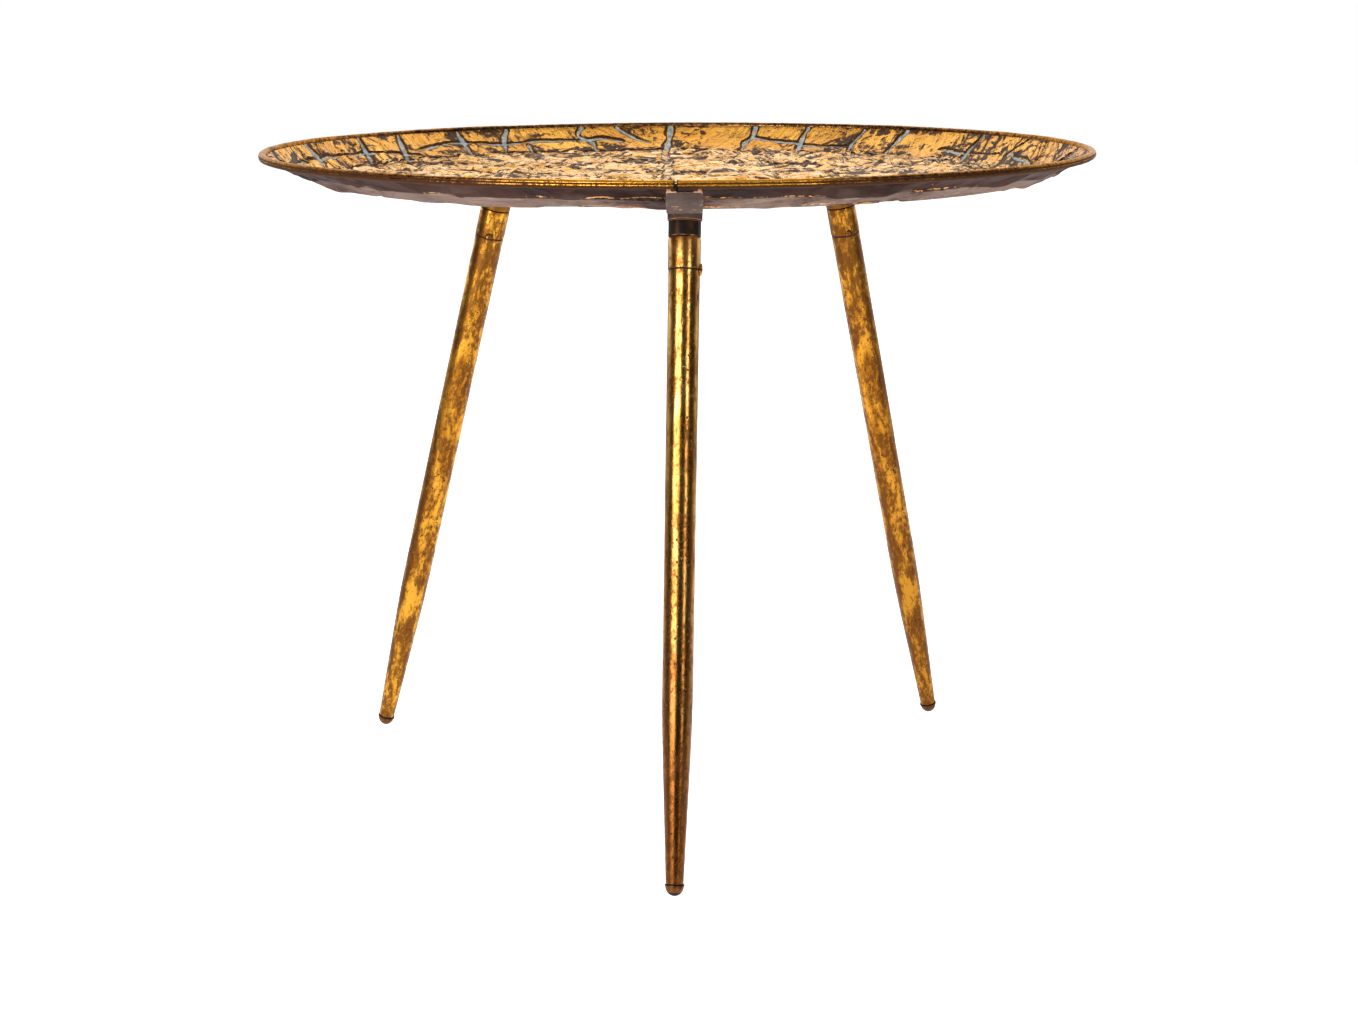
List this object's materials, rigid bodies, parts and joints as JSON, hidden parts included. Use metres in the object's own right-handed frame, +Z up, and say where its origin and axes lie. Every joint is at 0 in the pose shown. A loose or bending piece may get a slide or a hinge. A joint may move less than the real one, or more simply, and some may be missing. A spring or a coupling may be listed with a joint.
{
  "type": "tray table",
  "caption": "Low round side table: shallow hammered brass tray with a sloping flange, on splayed, tapered tube legs that unscrew from sockets under it.",
  "frame": {"origin": "on the floor, under the centre of the tray", "axes": "+Z up, the front leg points to -Y, +X to the right as seen from the front"},
  "size_m": [0.5998, 0.5998, 0.4739],
  "materials": {
    "tray_brass": "antique brass sheet, hammered and chased, with dark patina and verdigris in the grooves",
    "ring_brass": "rubbed antique brass rod",
    "dark_iron": "brown-black patinated steel",
    "collar_black": "near-black patinated metal",
    "leg_brass": "antique brass tube, mottled brown and gold",
    "foot_bronze": "dark bronze",
    "steel": "cut thread"
  },
  "bodies": {
    "table_top": {"tray_pan": "tray_brass", "rim_ring": "ring_brass", "arm_front": "dark_iron", "arm_left": "dark_iron", "arm_right": "dark_iron", "socket_front": "dark_iron", "socket_left": "dark_iron", "socket_right": "dark_iron"},
    "front_collar": {"collar_front": "collar_black"},
    "front_leg": {"ferrule_front": "leg_brass", "stud_front": "steel", "leg_tube_front": "leg_brass", "tack_front": "leg_brass", "foot_plug_front": "foot_bronze"},
    "left_collar": {"collar_left": "collar_black"},
    "left_leg": {"ferrule_left": "leg_brass", "stud_left": "steel", "leg_tube_left": "leg_brass", "tack_left": "leg_brass", "foot_plug_left": "foot_bronze"},
    "right_collar": {"collar_right": "collar_black"},
    "right_leg": {"ferrule_right": "leg_brass", "stud_right": "steel", "leg_tube_right": "leg_brass", "tack_right": "leg_brass", "foot_plug_right": "foot_bronze"}
  },
  "joints": [
    {"name": "front_leg_travel", "type": "slide", "parent": "table_top", "child": "front_collar", "axis": [-0.0194, -0.2556, -0.9666], "range_m": [0, 0.012]},
    {"name": "front_leg_screw", "type": "hinge", "parent": "front_collar", "child": "front_leg", "pos_m": [0.0049, -0.1461, 0.4342], "axis": [-0.0194, -0.2556, -0.9666], "range_deg": [0, 2880]},
    {"name": "left_leg_travel", "type": "slide", "parent": "table_top", "child": "left_collar", "axis": [-0.2341, 0.1169, -0.9652], "range_m": [0, 0.012]},
    {"name": "left_leg_screw", "type": "hinge", "parent": "left_collar", "child": "left_leg", "pos_m": [-0.1352, 0.065, 0.4342], "axis": [-0.2341, 0.1169, -0.9652], "range_deg": [0, 2880]},
    {"name": "right_leg_travel", "type": "slide", "parent": "table_top", "child": "right_collar", "axis": [0.1892, 0.153, -0.9699], "range_m": [0, 0.012]},
    {"name": "right_leg_screw", "type": "hinge", "parent": "right_collar", "child": "right_leg", "pos_m": [0.1222, 0.0783, 0.4342], "axis": [0.1892, 0.153, -0.9699], "range_deg": [0, 2880]}
  ],
  "couplings": [
    {"joint": "front_leg_screw", "follows": "front_leg_travel", "rad_per_m": 4188.8},
    {"joint": "left_leg_screw", "follows": "left_leg_travel", "rad_per_m": 4188.8},
    {"joint": "right_leg_screw", "follows": "right_leg_travel", "rad_per_m": 4188.8}
  ]
}
